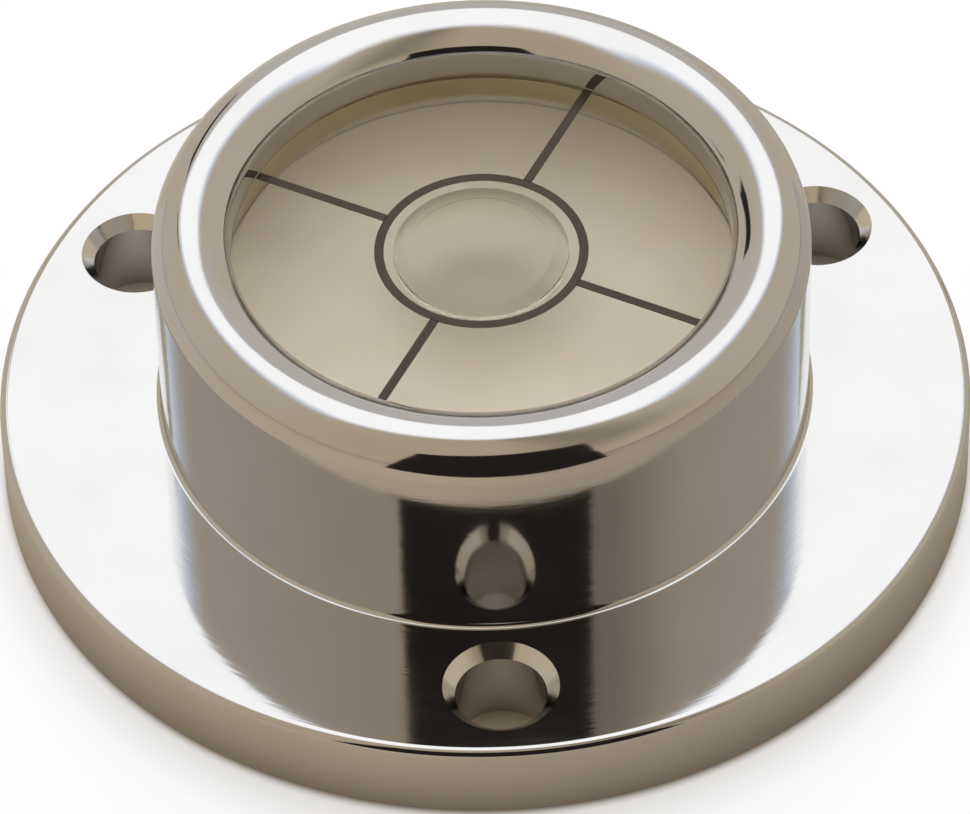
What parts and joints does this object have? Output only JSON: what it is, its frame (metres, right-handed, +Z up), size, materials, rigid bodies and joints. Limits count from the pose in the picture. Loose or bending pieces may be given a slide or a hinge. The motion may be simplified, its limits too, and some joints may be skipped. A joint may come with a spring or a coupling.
{
  "type": "bullseye level",
  "caption": "Round spirit level with an air bubble under a ringed glass window, in a polished flanged housing with chamfered screw holes.",
  "frame": {"origin": "on the turned axis, in the plane of the flange's underside", "axes": "+Z up along the turned axis, out of the window; one flange hole lies on -Y"},
  "size_m": [0.06, 0.06, 0.0205],
  "materials": {
    "plated_brass": "polished nickel plate",
    "bare_brass": "turned",
    "bedding_compound": "matt",
    "optical_glass": "polished",
    "dark_enamel": "gloss",
    "lens_cement": "satin",
    "matt_cream": "matt",
    "clear_liquid": "clear",
    "air": "clear",
    "steel_ball": "polished",
    "sealing_resin": "satin",
    "fibre": "matt"
  },
  "bodies": {
    "root": {"housing": "plated_brass", "lens_bedding": "bedding_compound", "lens": "optical_glass", "ring_mark": "dark_enamel", "radial_mark_1": "dark_enamel", "radial_mark_2": "dark_enamel", "radial_mark_3": "dark_enamel", "radial_mark_4": "dark_enamel", "lens_cement": "lens_cement", "cup": "bare_brass", "floor_disc": "matt_cream", "liquid": "clear_liquid", "air_bubble": "air", "filling_ball": "steel_ball", "filling_cap": "sealing_resin", "clamp_washer": "fibre", "clamp_ring": "bare_brass"}
  },
  "joints": []
}
